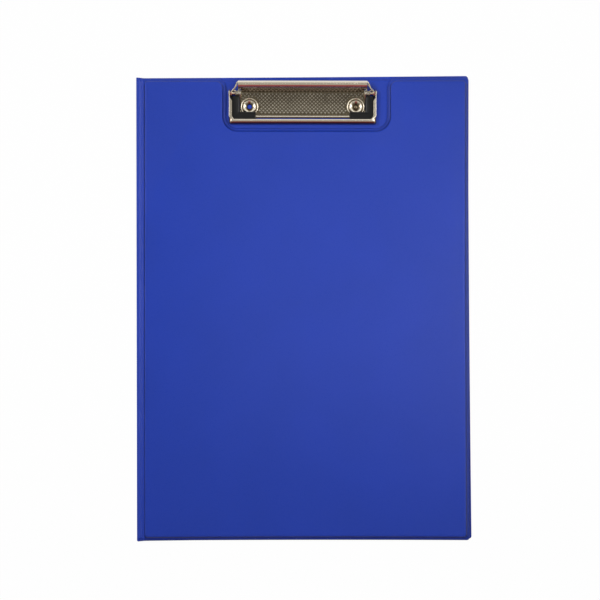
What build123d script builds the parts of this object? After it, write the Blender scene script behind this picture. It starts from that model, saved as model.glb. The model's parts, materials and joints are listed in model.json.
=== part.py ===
from build123d import *
from math import asin, atan2, cos, pi, radians, sin, sqrt
import os

# Foldover clipboard in millimetres, closed and lying on its back.
# X points to the fore edge, Y to the clip, Z up. Z = 0 is the face that lies on the desk.

# Overall size of the closed folder
folder_width = 230.0
folder_height = 320.0
corner_radius = 2.0

# Sheet stock: PVC cover material and grey board stiffeners
pvc = 0.35
board = 2.0
board_fit = 0.1
flange_sheet = 0.25
flange_width = 1.9
rim_slope = 1.0
rim_corner = 2.2
groove_width = 0.9
cover_gap = 0.5
front_trim = 0.5

# Spine: an upper strip in line with the front cover, a fold, and a lower strip down to the back
spine_run = 4.3
strip_gap = 0.25
fold_gap = 0.5

# Notch in the front cover, with its room round the clamp frame
notch_left_gap = 2.5
notch_right_gap = 8.05
notch_front_gap = 3.2
notch_corner = 8.2
notch_flare = 7.0

# Pocket inside the front cover
pocket_sheet = 0.25
pocket_height = 210.0
pocket_inset = 2.0

# Base plate of the clip
plate_sheet = 0.8
plate_gap = 1.4
plate_depth = 17.3
plate_corner = 1.5
bead_radius = 0.6
boss_radius = 6.15
boss_height = 0.6
boss_slope = 0.5
ear_radius = 2.6
ear_root = 6.0

# Pivot pins
pivot_inset = 0.9
pivot_rise = 3.3
pin_radius = 1.0
pin_fit = 0.05
pin_head_radius = 1.8
pin_head = 0.4
side_play = 0.1

# Clamp frame
clip_sheet = 0.9
frame_width = 101.2
frame_setback = 32.6
jaw_roll = 3.0
jaw_height = 5.5
knuckle_radius = 2.4
jaw_clearance = 0.1

# Thumb lever
lever_inset = 6.1
lever_foot_forward = 1.1
lever_foot_drop = 1.4
lever_slope = 69.0
lever_face = 6.4
lever_crown = 3.1
lever_hem = 1.2
lever_clear_radius = 3.2
lever_foot_gap = 0.4
cheek_bend = 2.5
cheek_lead = 1.6
cheek_tail = 0.9
cheek_turn = 1.6

# Corner pads
pad_long = 17.2
pad_side_band = 5.7
pad_front_band = 7.1
pad_rear_gap = 3.0
pad_height = 4.0
pad_fit = 0.05
pad_edge = 2.2
pad_relief_gap = 0.3

# Torsion springs
spring_wire = 0.8
spring_coils = 2
spring_pitch = 1.35
spring_fit = 0.15
spring_side_gap = 0.3
spring_foot = 6.5
spring_foot_gap = 0.05
spring_push = 2.4
spring_push_angle = 25.0
spring_bend = 0.8
spring_hook = 1.0
spring_hook_room = 0.86
spring_hole_fit = 0.15

# Tubular rivets
rivet_side_inset = 6.8
rivet_front_inset = 7.4
rivet_shank = 2.4
rivet_bore = 1.45
rivet_head = 4.5
rivet_head_sheet = 0.5
rivet_flange = 4.3
rivet_roll = 0.8
rivet_funnel = 2.6
rivet_fit = 0.05
blind_floor = 2.0

# Heights of the layers, from the desk up
panel = 2 * pvc + board
back_mid = panel / 2
back_top = panel
front_bottom = back_top + cover_gap
front_mid = front_bottom + panel / 2

# Spine geometry: the fold lies outside the weld grooves, level with the front one
fold_radius = pvc
fold_x = fold_radius - folder_width / 2
fold_z = front_mid
hinge_x = fold_x + spine_run
strip_slope = atan2(front_mid - back_mid, spine_run)
strip_run = spine_run / cos(strip_slope)
strip_end = spine_run - fold_radius - strip_gap

# Spring geometry: the foot slopes down to the back cover, the other end climbs into a cheek
coil_radius = pin_radius + spring_fit + spring_wire / 2
spring_drop = pivot_rise - coil_radius - spring_wire / 2 - spring_foot_gap
spring_foot_angle = asin(spring_drop / spring_foot)
spring_push_turn = pi / 2 + radians(spring_push_angle)
coil_start = -pi / 2 - spring_foot_angle
coil_turn = (spring_push_turn - coil_start) % (2 * pi) - 2 * pi * (spring_coils + 1)
coil_length = spring_wire + spring_pitch * abs(coil_turn) / (2 * pi)

# Clip geometry, from the clip end of the folder and from the outside of the frame inwards
plate_top = back_top + plate_sheet
boss_top = plate_top + boss_height
frame_front = folder_height / 2 - frame_setback
frame_half = frame_width / 2
arm_inner = frame_half - clip_sheet
jaw_bottom = back_top + jaw_clearance
jaw_top = jaw_bottom + jaw_height
plate_front = frame_front + jaw_roll + plate_gap
plate_rear = plate_front + plate_depth
plate_half = arm_inner - clip_sheet - spring_hook_room - coil_length - spring_side_gap
pivot_y = plate_rear - pivot_inset
pivot_z = back_top + pivot_rise
lever_half = frame_half - lever_inset
lever_foot_half = plate_half - plate_sheet - pin_head - lever_foot_gap
rivet_x = plate_half - rivet_side_inset
rivet_y = plate_front + rivet_front_inset
hook_y = pivot_y + coil_radius * cos(spring_push_turn) + spring_push * cos(radians(spring_push_angle))
hook_z = pivot_z + coil_radius * sin(spring_push_turn) + spring_push * sin(radians(spring_push_angle))


def notch_outline(grow, top):
    """The clip notch, grown by a seam width and open at the top edge."""
    left = -frame_half - notch_left_gap - grow
    right = frame_half + notch_right_gap + grow
    bottom = frame_front - notch_front_gap - grow
    round_in = notch_corner + grow
    flare = notch_flare - grow
    with BuildSketch() as notch:
        with BuildLine():
            Line((left - flare, top), (right + flare, top))
            JernArc((right + flare, top), (-1, 0), flare, 90)
            Line((right, top - flare), (right, bottom + round_in))
            JernArc((right, bottom + round_in), (0, -1), round_in, -90)
            Line((right - round_in, bottom), (left + round_in, bottom))
            JernArc((left + round_in, bottom), (-1, 0), round_in, -90)
            Line((left, bottom + round_in), (left, top - flare))
            JernArc((left, top - flare), (0, 1), flare, 90)
        make_face()
    return notch.sketch


def panel_outline(inset, hinge_inset, corner, trim=0.0, notched=False):
    """Outline of a cover panel between its weld groove and its three free edges."""
    low_x = hinge_x + hinge_inset
    high_x = folder_width / 2 - trim - inset
    half_y = folder_height / 2 - trim - inset
    with BuildSketch() as outline:
        with Locations(((low_x + high_x) / 2, 0)):
            Rectangle(high_x - low_x, 2 * half_y)
        fillet(outline.vertices().group_by(Axis.X)[-1], corner)
        if notched:
            add(notch_outline(inset, half_y), mode=Mode.SUBTRACT)
    return outline.sketch


def board_outline(fit, trim=0.0, notched=False):
    """Outline of a stiffener, held inside the rim of its panel."""
    inset = flange_width + rim_slope - fit
    hinge_inset = groove_width / 2 + rim_slope - fit
    return panel_outline(inset, hinge_inset, rim_corner - rim_slope + fit, trim, notched)


def cover_sheet(mid, side, trim=0.0, notched=False):
    """One PVC sheet: flat face, sloped rim, and the thin flange that is welded to its twin.

    The sheets of the front cover run on over the weld groove, as the upper strip of the spine.
    """
    with BuildPart() as sheet:
        with BuildSketch(Plane.XY.offset(mid)):
            add(panel_outline(0, strip_gap, corner_radius, trim, notched))
        extrude(amount=side * flange_sheet)
        with BuildSketch(Plane.XY.offset(mid)):
            add(panel_outline(flange_width, groove_width / 2, rim_corner, trim, notched))
        extrude(amount=side * panel / 2)
        flat_face = sheet.faces().sort_by(Axis.Z)[-1 if side > 0 else 0]
        chamfer(flat_face.outer_wire().edges(), rim_slope)
        with BuildSketch(Plane.XY.offset(mid)):
            add(board_outline(board_fit, trim, notched))
        extrude(amount=side * board / 2, mode=Mode.SUBTRACT)
        if notched:
            strip_low = fold_x + fold_radius + fold_gap
            strip_high = hinge_x - groove_width / 2
            with BuildSketch(Plane.XY.offset(mid)):
                with Locations(((strip_low + strip_high) / 2, 0)):
                    Rectangle(strip_high - strip_low, folder_height - 2 * trim)
            extrude(amount=side * pvc)
            with BuildSketch(Plane.XY.offset(mid)):
                with Locations((hinge_x, 0)):
                    Rectangle(groove_width, folder_height - 2 * trim)
            extrude(amount=side * flange_sheet)
    return sheet.part


def strip_layer(start, end, low, high):
    """Layer of the strip that leans from the groove of the back cover up towards the fold."""
    groove = Vector(hinge_x, back_mid)
    along = Vector(-cos(strip_slope), sin(strip_slope))
    inwards = Vector(sin(strip_slope), cos(strip_slope))
    with BuildPart() as strip:
        with BuildSketch(Plane.XZ):
            with BuildLine():
                Polyline(
                    groove + along * start + inwards * low,
                    groove + along * end + inwards * low,
                    groove + along * end + inwards * high,
                    groove + along * start + inwards * high,
                    close=True,
                )
            make_face()
        extrude(amount=folder_height / 2, both=True)
    return strip.part


# Back cover: outer skin, stiffener, inner lining
with BuildPart() as back_outer_skin:
    add(cover_sheet(back_mid, -1))
back_outer_skin.part.label = "back_outer_skin"

rivet_places = [(-rivet_x, rivet_y), (rivet_x, rivet_y)]

with BuildPart() as back_board:
    with BuildSketch(Plane.XY.offset(pvc)):
        add(board_outline(0))
    extrude(amount=board)
    with BuildSketch(Plane.XY.offset(pvc)):
        with Locations(*rivet_places):
            Circle(rivet_shank + rivet_fit)
    extrude(amount=board, mode=Mode.SUBTRACT)
    with BuildSketch(Plane.XY.offset(pvc)):
        with Locations(*rivet_places):
            Circle(rivet_head + rivet_fit)
    extrude(amount=rivet_head_sheet + rivet_fit, mode=Mode.SUBTRACT)
back_board.part.label = "back_board"

with BuildPart() as back_inner_lining:
    add(cover_sheet(back_mid, 1))
    with BuildSketch(Plane.XY.offset(back_mid)):
        with Locations(*rivet_places):
            Circle(rivet_shank + rivet_fit)
    extrude(amount=panel / 2, mode=Mode.SUBTRACT)
back_inner_lining.part.label = "back_inner_lining"

# Front cover: inner lining with a pocket, stiffener, outer skin, all notched for the clip
with BuildPart() as front_inner_lining:
    add(cover_sheet(front_mid, -1, front_trim, True))
front_inner_lining.part.label = "front_inner_lining"

with BuildPart() as front_board:
    with BuildSketch(Plane.XY.offset(front_bottom + pvc)):
        add(board_outline(0, front_trim, True))
    extrude(amount=board)
front_board.part.label = "front_board"

with BuildPart() as front_outer_skin:
    add(cover_sheet(front_mid, 1, front_trim, True))
front_outer_skin.part.label = "front_outer_skin"

with BuildPart() as front_pocket:
    pocket_low_x = hinge_x + groove_width / 2 + rim_slope + pocket_inset
    pocket_high_x = folder_width / 2 - front_trim - flange_width - rim_slope - pocket_inset
    pocket_low_y = -folder_height / 2 + front_trim + flange_width + rim_slope + pocket_inset
    with BuildSketch(Plane.XY.offset(front_bottom)):
        with Locations(((pocket_low_x + pocket_high_x) / 2, pocket_low_y + pocket_height / 2)):
            RectangleRounded(pocket_high_x - pocket_low_x, pocket_height, corner_radius)
    extrude(amount=-pocket_sheet)
front_pocket.part.label = "front_pocket"

# Spine: skin and lining of the lower strip, and the fold that both of them turn in
with BuildPart() as spine_outer_skin:
    add(strip_layer(strip_gap, strip_end, -pvc, 0))
spine_outer_skin.part.label = "spine_outer_skin"

with BuildPart() as spine_inner_lining:
    add(strip_layer(strip_gap, strip_end, 0, pvc))
spine_inner_lining.part.label = "spine_inner_lining"

with BuildPart() as spine_fold:
    add(strip_layer(strip_end, strip_run, -pvc / 2, pvc / 2))
    with BuildSketch(Plane.XZ):
        with Locations((fold_x, fold_z)):
            Circle(fold_radius)
    extrude(amount=folder_height / 2, both=True)
spine_fold.part.label = "spine_fold"

# Base plate: flat steel with a front bead, two embossed bosses and an ear at each rear corner
with BuildPart() as base_plate:
    with BuildSketch(Plane.XY.offset(back_top)):
        with Locations((0, (plate_front + plate_rear) / 2)):
            RectangleRounded(2 * plate_half, plate_depth, plate_corner)
    extrude(amount=plate_sheet)
    with BuildSketch(Plane.YZ):
        with Locations((plate_front + bead_radius, plate_top)):
            Circle(bead_radius)
    extrude(amount=plate_half - plate_corner, both=True)
    with BuildSketch(Plane.XY.offset(plate_top)):
        with Locations(*rivet_places):
            Circle(boss_radius)
    extrude(amount=boss_height)
    chamfer(base_plate.edges().filter_by(GeomType.CIRCLE).group_by(Axis.Z)[-1], boss_slope)
    with BuildSketch(Plane.XY.offset(back_top)):
        with Locations(*rivet_places):
            Circle(boss_radius - plate_sheet)
    extrude(amount=boss_height, mode=Mode.SUBTRACT)
    with BuildSketch(Plane.XY.offset(back_top)):
        with Locations(*rivet_places):
            Circle(rivet_shank + rivet_fit)
    extrude(amount=boss_height + 2 * plate_sheet, mode=Mode.SUBTRACT)
    for ear_x in (plate_half - plate_sheet, -plate_half):
        with BuildSketch(Plane.YZ.offset(ear_x)):
            with BuildLine():
                Line((pivot_y - ear_root, back_top), (plate_rear, back_top))
                CenterArc((pivot_y, pivot_z), ear_radius, 0, 360)
            make_hull()
            with Locations((pivot_y, pivot_z)):
                Circle(pin_radius, mode=Mode.SUBTRACT)
        extrude(amount=plate_sheet)
base_plate.part.label = "base_plate"


def tubular_rivet(x, floor):
    """Rivet with a flat hidden head, a hollow shank and a rolled flange on the clip side."""
    low = pvc
    crown = boss_top + rivet_roll
    with BuildPart() as rivet:
        with BuildSketch(Plane.XZ.offset(-rivet_y)):
            with BuildLine():
                Polyline(
                    (x + rivet_bore, low),
                    (x + rivet_head, low),
                    (x + rivet_head, low + rivet_head_sheet),
                    (x + rivet_shank, low + rivet_head_sheet),
                    (x + rivet_shank, boss_top),
                    (x + rivet_flange - rivet_roll / 2, boss_top),
                )
                JernArc((x + rivet_flange - rivet_roll / 2, boss_top), (1, 0), rivet_roll / 2, 180)
                Polyline(
                    (x + rivet_flange - rivet_roll / 2, crown),
                    (x + rivet_funnel, crown),
                    (x + rivet_bore, crown - rivet_roll),
                    (x + rivet_bore, low),
                )
            make_face()
        revolve(axis=Axis((x, rivet_y, 0), (0, 0, 1)))
        if floor > 0:
            with BuildSketch(Plane.XY.offset(low)):
                with Locations((x, rivet_y)):
                    Circle(rivet_bore)
            extrude(amount=floor)
    return rivet.part


# Rivets: the left one is open down to the back skin, the right one has a blind bore
with BuildPart() as left_rivet:
    add(tubular_rivet(-rivet_x, 0))
left_rivet.part.label = "left_rivet"

with BuildPart() as right_rivet:
    add(tubular_rivet(rivet_x, blind_floor))
right_rivet.part.label = "right_rivet"

# Clamp frame: a rolled jaw bar across the front and a flat arm down each side
with BuildPart() as frame_hollow:
    with BuildSketch(Plane.XY.offset(back_top)):
        with Locations((0, frame_front + clip_sheet)):
            Rectangle(2 * arm_inner, folder_height / 2, align=(Align.CENTER, Align.MIN))
    extrude(amount=jaw_top - clip_sheet - back_top)
    hollow_uprights = frame_hollow.edges().filter_by(Axis.Z).group_by(Axis.Y)[0]
    hollow_top = frame_hollow.edges().filter_by(Axis.X).group_by(Axis.Y)[0].sort_by(Axis.Z)[-1]
    fillet([*hollow_uprights, hollow_top], jaw_roll - clip_sheet)
    with BuildSketch(Plane.XY.offset(back_top)):
        with Locations((0, frame_front + jaw_roll)):
            Rectangle(2 * arm_inner, folder_height / 2, align=(Align.CENTER, Align.MIN))
    extrude(amount=2 * jaw_height)

with BuildPart() as clamp_frame:
    with BuildSketch(Plane.YZ):
        with BuildLine():
            Line((frame_front, jaw_bottom), (frame_front, jaw_top))
            CenterArc((pivot_y, pivot_z), knuckle_radius, 0, 360)
        make_hull()
    extrude(amount=frame_half, both=True)
    frame_uprights = clamp_frame.edges().filter_by(Axis.Z).group_by(Axis.Y)[0]
    frame_top = clamp_frame.edges().filter_by(Axis.X).group_by(Axis.Y)[0].sort_by(Axis.Z)[-1]
    fillet([*frame_uprights, frame_top], jaw_roll)
    add(frame_hollow.part, mode=Mode.SUBTRACT)
    with BuildSketch(Plane.YZ):
        with Locations((pivot_y, pivot_z)):
            Circle(pin_radius + pin_fit)
    extrude(amount=frame_half, both=True, mode=Mode.SUBTRACT)
clamp_frame.part.label = "clamp_frame"

# Thumb lever: a sloped face under a crown with a rolled hem, and a cheek at each end
foot = Vector(pivot_y + lever_foot_forward, pivot_z - lever_foot_drop)
rise_way = Vector(cos(radians(lever_slope)), sin(radians(lever_slope)))
crown_start = foot + rise_way * lever_face
crown_y = crown_start.X + lever_crown * sin(radians(lever_slope))
crown_z = crown_start.Y + lever_crown * (1 - cos(radians(lever_slope)))
cheek_mid = arm_inner - clip_sheet / 2

with BuildPart() as lever_sheet:
    with BuildSketch(Plane.YZ):
        with BuildLine() as lever_line:
            Line(foot, crown_start)
            JernArc(crown_start, rise_way, lever_crown, -lever_slope)
            JernArc((crown_y, crown_z), (1, 0), lever_hem, -180)
        trace(lever_line.line, line_width=clip_sheet)
    extrude(amount=lever_half, both=True)
    with BuildSketch(Plane.YZ):
        with Locations((pivot_y, pivot_z)):
            Circle(lever_clear_radius)
    extrude(amount=lever_half, both=True, mode=Mode.SUBTRACT)
    with BuildSketch(Plane.YZ):
        trace(lever_line.line, line_width=clip_sheet)
    extrude(amount=lever_foot_half, both=True)

with BuildPart() as lever_cheeks:
    with BuildSketch(Plane.XY.offset(back_top)):
        with BuildLine() as cheek_line:
            FilletPolyline(
                (lever_half - clip_sheet / 2, crown_y + cheek_tail),
                (lever_half - clip_sheet / 2, crown_y + cheek_tail - cheek_lead),
                (cheek_mid, pivot_y + cheek_turn),
                (cheek_mid, pivot_y - knuckle_radius),
                radius=cheek_bend,
            )
        trace(cheek_line.line, line_width=clip_sheet)
        mirror(about=Plane.YZ)
    extrude(amount=crown_z)
    with BuildSketch(Plane.YZ):
        with BuildLine():
            CenterArc((pivot_y, pivot_z), knuckle_radius, 0, 360)
            CenterArc((crown_y, crown_z - lever_hem), lever_hem + clip_sheet / 2, 0, 360)
        make_hull()
        with Locations((pivot_y, pivot_z)):
            Circle(pin_radius + pin_fit, mode=Mode.SUBTRACT)
        with Locations((hook_y, hook_z)):
            Circle(spring_wire / 2 + spring_hole_fit, mode=Mode.SUBTRACT)
    extrude(amount=frame_half, both=True, mode=Mode.INTERSECT)

with BuildPart() as thumb_lever:
    add(lever_sheet.part)
    add(lever_cheeks.part)
thumb_lever.part.label = "thumb_lever"

# Corner pads: moulded angles that fill the front corners of the frame and clear the base plate
pad_outer = arm_inner - pad_fit
pad_front = frame_front + clip_sheet + pad_fit
pad_rear = pivot_y - pad_rear_gap
pad_relief_top = boss_top + rivet_roll + pad_relief_gap

with BuildPart() as right_pad:
    with BuildSketch(Plane.XY.offset(jaw_bottom)):
        with BuildLine():
            Polyline(
                (pad_outer, pad_front),
                (pad_outer, pad_rear),
                (pad_outer - pad_side_band, pad_rear),
                (pad_outer - pad_side_band, pad_front + pad_front_band),
                (pad_outer - pad_long, pad_front + pad_front_band),
                (pad_outer - pad_long, pad_front),
                close=True,
            )
        make_face()
    extrude(amount=pad_height)
    pad_upright = right_pad.edges().filter_by(Axis.Z).group_by(Axis.Y)[0].sort_by(Axis.X)[-1]
    pad_top_edge = right_pad.edges().filter_by(Axis.X).group_by(Axis.Y)[0].sort_by(Axis.Z)[-1]
    fillet([pad_upright, pad_top_edge], pad_edge)
    with BuildSketch(Plane.XY.offset(jaw_bottom)):
        with Locations((0, plate_front - pad_relief_gap)):
            Rectangle(2 * plate_half + 2 * pad_relief_gap, plate_depth, align=(Align.CENTER, Align.MIN))
    extrude(amount=pad_relief_top - jaw_bottom, mode=Mode.SUBTRACT)
right_pad.part.label = "right_pad"

with BuildPart() as left_pad:
    mirror(right_pad.part, about=Plane.YZ)
left_pad.part.label = "left_pad"

# Pivot pins: headed pins through an ear, a spring, a cheek and a frame arm
pin_start = plate_half - plate_sheet - pin_head
pin_end = frame_half + side_play + pin_head

with BuildPart() as right_pin:
    with BuildSketch(Plane.YZ.offset(pin_start)):
        with Locations((pivot_y, pivot_z)):
            Circle(pin_radius)
    extrude(amount=pin_end - pin_start)
    for head_x in (pin_start, pin_end - pin_head):
        with BuildSketch(Plane.YZ.offset(head_x)):
            with Locations((pivot_y, pivot_z)):
                Circle(pin_head_radius)
        extrude(amount=pin_head)
right_pin.part.label = "right_pin"

with BuildPart() as left_pin:
    mirror(right_pin.part, about=Plane.YZ)
left_pin.part.label = "left_pin"

# Torsion springs: a foot on the back cover, coils round the pin, a hooked end in the cheek
coil_steps = round(abs(coil_turn) / (pi / 2))
coil_x = plate_half + spring_side_gap + spring_wire / 2


def coil_point(step):
    """Centre of the wire after a number of steps of about a quarter turn."""
    share = step / coil_steps
    angle = coil_start + coil_turn * share
    return Vector(
        coil_x + spring_pitch * share * abs(coil_turn) / (2 * pi),
        pivot_y + coil_radius * cos(angle),
        pivot_z + coil_radius * sin(angle),
    )


def coil_tangent(step):
    """Direction of the wire there. It is square to the pin where a straight end begins."""
    angle = coil_start + coil_turn * step / coil_steps
    climb = 0 if step in (0, coil_steps) else spring_pitch / (2 * pi * coil_radius)
    return Vector(climb, sin(angle), -cos(angle)).normalized()


def add_biarc(start, start_way, end, end_way):
    """Two arcs from start to end, tangent to each other and to both given directions."""
    chord = end - start
    ways = start_way + end_way
    across = 2 * (1 - start_way.dot(end_way))
    reach = (sqrt(chord.dot(ways) ** 2 + across * chord.dot(chord)) - chord.dot(ways)) / across
    knee_in = start + start_way * reach
    knee_out = end - end_way * reach
    middle = (knee_in + knee_out) / 2
    TangentArc(start, middle, tangent=start_way)
    TangentArc(middle, end, tangent=knee_out - knee_in)


with BuildPart() as right_spring:
    with BuildLine() as spring_path:
        foot_way = coil_tangent(0)
        foot_end = coil_point(0) - foot_way * spring_foot
        Line(foot_end, coil_point(0))
        for step in range(coil_steps):
            add_biarc(coil_point(step), coil_tangent(step), coil_point(step + 1), coil_tangent(step + 1))
        push_way = coil_tangent(coil_steps)
        bend_start = coil_point(coil_steps) + push_way * (spring_push - spring_bend)
        bend_end = bend_start + (push_way + Vector(1, 0, 0)) * spring_bend
        Line(coil_point(coil_steps), bend_start)
        TangentArc(bend_start, bend_end, tangent=push_way)
        Line(bend_end, bend_end + Vector(spring_hook, 0, 0))
    with BuildSketch(Plane(origin=foot_end, z_dir=foot_way)):
        Circle(spring_wire / 2)
    sweep(path=spring_path.wires()[0])
right_spring.part.label = "right_spring"

with BuildPart() as left_spring:
    mirror(right_spring.part, about=Plane.YZ)
left_spring.part.label = "left_spring"


def least_gap(path, wire):
    """Least distance between two stretches of a wire that lie over half a coil apart."""
    count = 400
    apart = pi * coil_radius
    points = [path.position_at(i / count) for i in range(count + 1)]
    skip = round(apart / path.length * count)
    pairs = [(a, b) for a in range(count + 1) for b in range(a + skip, count + 1)]
    return min((points[a] - points[b]).length for a, b in pairs) - wire


print("spring, least gap to itself:", round(least_gap(spring_path.wires()[0], spring_wire), 3), "mm")

nodes = [
    back_outer_skin,
    back_board,
    back_inner_lining,
    front_inner_lining,
    front_board,
    front_outer_skin,
    front_pocket,
    spine_outer_skin,
    spine_inner_lining,
    spine_fold,
    base_plate,
    left_rivet,
    right_rivet,
    clamp_frame,
    thumb_lever,
    left_pad,
    right_pad,
    left_pin,
    right_pin,
    left_spring,
    right_spring,
]

os.makedirs("parts", exist_ok=True)
for node in nodes:
    export_step(node.part, f"parts/{node.part.label}.step")
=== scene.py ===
import json
from math import asin, atan2, cos, degrees, hypot, pi, radians, sin, sqrt

import bpy
from mathutils import Matrix, Vector, noise
from mathutils.geometry import delaunay_2d_cdt


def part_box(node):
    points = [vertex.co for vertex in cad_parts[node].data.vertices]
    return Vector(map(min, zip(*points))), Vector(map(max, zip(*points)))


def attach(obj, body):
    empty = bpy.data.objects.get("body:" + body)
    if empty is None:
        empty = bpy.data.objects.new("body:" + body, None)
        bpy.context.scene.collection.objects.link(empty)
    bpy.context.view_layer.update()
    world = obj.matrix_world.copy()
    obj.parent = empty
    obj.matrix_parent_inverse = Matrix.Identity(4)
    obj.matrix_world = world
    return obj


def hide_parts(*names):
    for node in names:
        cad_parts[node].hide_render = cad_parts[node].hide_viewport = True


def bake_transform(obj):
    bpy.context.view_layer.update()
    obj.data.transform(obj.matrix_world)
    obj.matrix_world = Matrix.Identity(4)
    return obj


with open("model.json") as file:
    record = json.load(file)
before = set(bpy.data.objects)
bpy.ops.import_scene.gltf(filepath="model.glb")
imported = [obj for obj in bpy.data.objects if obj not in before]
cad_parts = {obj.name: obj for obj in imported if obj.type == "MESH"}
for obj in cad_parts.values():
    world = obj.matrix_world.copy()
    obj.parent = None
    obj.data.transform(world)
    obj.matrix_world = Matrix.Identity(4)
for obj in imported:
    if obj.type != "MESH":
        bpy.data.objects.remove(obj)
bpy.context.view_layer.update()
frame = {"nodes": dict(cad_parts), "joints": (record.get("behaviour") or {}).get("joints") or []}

# A foldover clipboard, closed and lying on its back, put together from the desk upwards.
# Sizes are in millimetres, and every mesh is turned to metres when it is made.


# Back cover, outer skin: soft PVC sheet with an embossed leather grain. It is welded to the lining
# along its free edges and along the spine groove, and runs on from there as the lower spine strip.
back_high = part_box("back_outer_skin")[1] * 1000
joint_place = {joint["name"]: Vector(joint["pos_m"]) * 1000 for joint in frame["joints"]}
groove = joint_place["spine_hinge"]
fold = joint_place["cover_hinge"]
back_edge_x = back_high.x
back_edge_y = back_high.y
back_corner = 2.0
sheet = 0.25
groove_half = 0.45
flange = 1.9
# Half the thickness of a cover, from the cut edge over the weld line up to the flat face
rim_profile = [
    (0.0, 0.10), (0.15, 0.20), (0.4, 0.26), (0.8, 0.26), (1.05, 0.17), (1.25, 0.15), (1.5, 0.22),
    (1.9, 0.30), (2.05, 0.40), (2.3, 0.92), (2.5, 1.15), (2.8, 1.30), (3.2, 1.38), (3.9, 1.40),
    (5.0, 1.37), (7.0, 1.35),
]
face_start = rim_profile[-1][0]
plan_step = 8
grid_step = 7
wave_fade = 15
end_weld = 0.5
end_rise = 2.0


def on_profile(profile, place):
    """Value of a profile of (place, value) points, straight between them."""
    for (low, low_value), (high, high_value) in zip(profile, profile[1:]):
        if place <= high:
            share = max(0.0, (place - low) / (high - low))
            return low_value + (high_value - low_value) * share
    return profile[-1][1]


def ease(share):
    """A smooth step from 0 to 1."""
    share = min(1.0, max(0.0, share))
    return share * share * (3 - 2 * share)


def round_min(a, b, radius):
    """The lesser of two distances, with the corner between them rounded."""
    if abs(a - b) >= radius:
        return min(a, b)
    return (a + b + sqrt(2 * radius ** 2 - (a - b) ** 2)) / 2 - radius


def arc_points(centre, radius, start, turn, steps):
    """Points along an arc, with angles in degrees."""
    angles = (radians(start + turn * step / steps) for step in range(steps + 1))
    return [(centre[0] + radius * cos(angle), centre[1] + radius * sin(angle)) for angle in angles]


def divided(points, longest):
    """A line of points with its long stretches divided."""
    line = [points[0]]
    for start, end in zip(points, points[1:]):
        count = max(1, round(hypot(end[0] - start[0], end[1] - start[1]) / longest))
        for step in range(1, count + 1):
            share = step / count
            line.append((start[0] + (end[0] - start[0]) * share, start[1] + (end[1] - start[1]) * share))
    return line


def flat_mesh(lines, extra_points, keep):
    """Triangles in plan that hold every line and point, where keep says that there is sheet."""
    points = [Vector(point) for point in extra_points]
    edges = []
    for line in lines:
        first = len(points)
        points += [Vector(point) for point in line]
        edges += [(first + step, first + step + 1) for step in range(len(line) - 1)]
    places, _, triangles, _, _, _ = delaunay_2d_cdt(points, edges, [], 0, 1e-4)
    kept = []
    for triangle in triangles:
        middle = sum((places[corner] for corner in triangle), Vector((0, 0))) / len(triangle)
        if keep(middle.x, middle.y):
            kept.append(tuple(triangle))
    return places, kept


into_scene = bpy.context.scene.collection.objects.link


def new_piece(name, points, faces, material, smooth=True):
    """A mesh object from points in millimetres."""
    mesh = bpy.data.meshes.new(name)
    mesh.from_pydata([tuple(0.001 * value for value in point) for point in points], [], faces)
    mesh.polygons.foreach_set("use_smooth", [smooth] * len(mesh.polygons))
    mesh.materials.append(material)
    piece = bpy.data.objects.new(name, mesh)
    into_scene(piece)
    return piece


def closed_sheet(name, plan, upper, lower, place, material):
    """A closed mesh over a flat plan, between two heights, with place() to bend or move it."""
    places, triangles = plan
    used = sorted({corner for triangle in triangles for corner in triangle})
    number = {corner: index for index, corner in enumerate(used)}
    count = len(used)
    flat = [places[corner] for corner in used]
    points = [place(p.x, p.y, upper(p.x, p.y)) for p in flat]
    points += [place(p.x, p.y, lower(p.x, p.y)) for p in flat]
    faces = []
    open_edges = {}
    for triangle in triangles:
        corners = [number[corner] for corner in triangle]
        faces.append(corners)
        faces.append([corner + count for corner in reversed(corners)])
        for a, b in zip(corners, corners[1:] + corners[:1]):
            open_edges[(a, b)] = (b, a) not in open_edges
            if (b, a) in open_edges:
                open_edges[(b, a)] = False
    for (a, b), is_open in open_edges.items():
        if is_open:
            faces.append([b, a, a + count, b + count])
    piece = new_piece(name, points, faces, material)
    piece.data.set_sharp_from_angle(angle=radians(50))
    return piece


def cover_plan(cover):
    """Plan mesh of a cover sheet: lines that follow its free edges, and a loose grid between them.
    It ends inside the bead of the fold."""
    edge_x, edge_y, notched = cover
    lines = [divided([(x, -edge_y), (x, edge_y)], plan_step) for x in hinge_lines]
    for inset, half in rim_profile:
        high_x = edge_x - inset
        high_y = edge_y - inset
        r = back_corner
        line = [(fold.x, -high_y)]
        line += arc_points((high_x - r, -high_y + r), r, -90, 90, 5)
        line += arc_points((high_x - r, high_y - r), r, 0, 90, 5)
        if notched:
            line += notch_line(inset, high_y)
        line.append((fold.x, high_y))
        lines.append(divided(line, plan_step))
    lines.append(divided([(fold.x, -edge_y), (fold.x, edge_y)], plan_step))
    grid = [
        (groove.x + grid_step * (column + 0.5 * (row % 2) + 1), -edge_y + grid_step * (row + 0.7))
        for column in range(round((edge_x - groove.x) / grid_step))
        for row in range(round(2 * edge_y / grid_step))
    ]
    grid = [point for point in grid if edge_distance(*point, cover) > face_start + 2]
    return flat_mesh(lines, grid, lambda x, y: edge_distance(x, y, cover) > 0)


def edge_distance(x, y, cover):
    """How far a point of a cover lies inside its free edges."""
    edge_x, edge_y, notched = cover
    from_ends = edge_y - abs(y)
    distance = round_min(edge_x - x, from_ends, back_corner)
    if notched:
        from_notch = notch_distance(x, y)
        if y > 0 and from_ends < notch_flare and from_notch < notch_flare:
            flared = notch_flare - hypot(notch_flare - from_ends, notch_flare - from_notch)
            distance = min(distance, flared)
        distance = min(distance, from_notch)
    return distance


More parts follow.
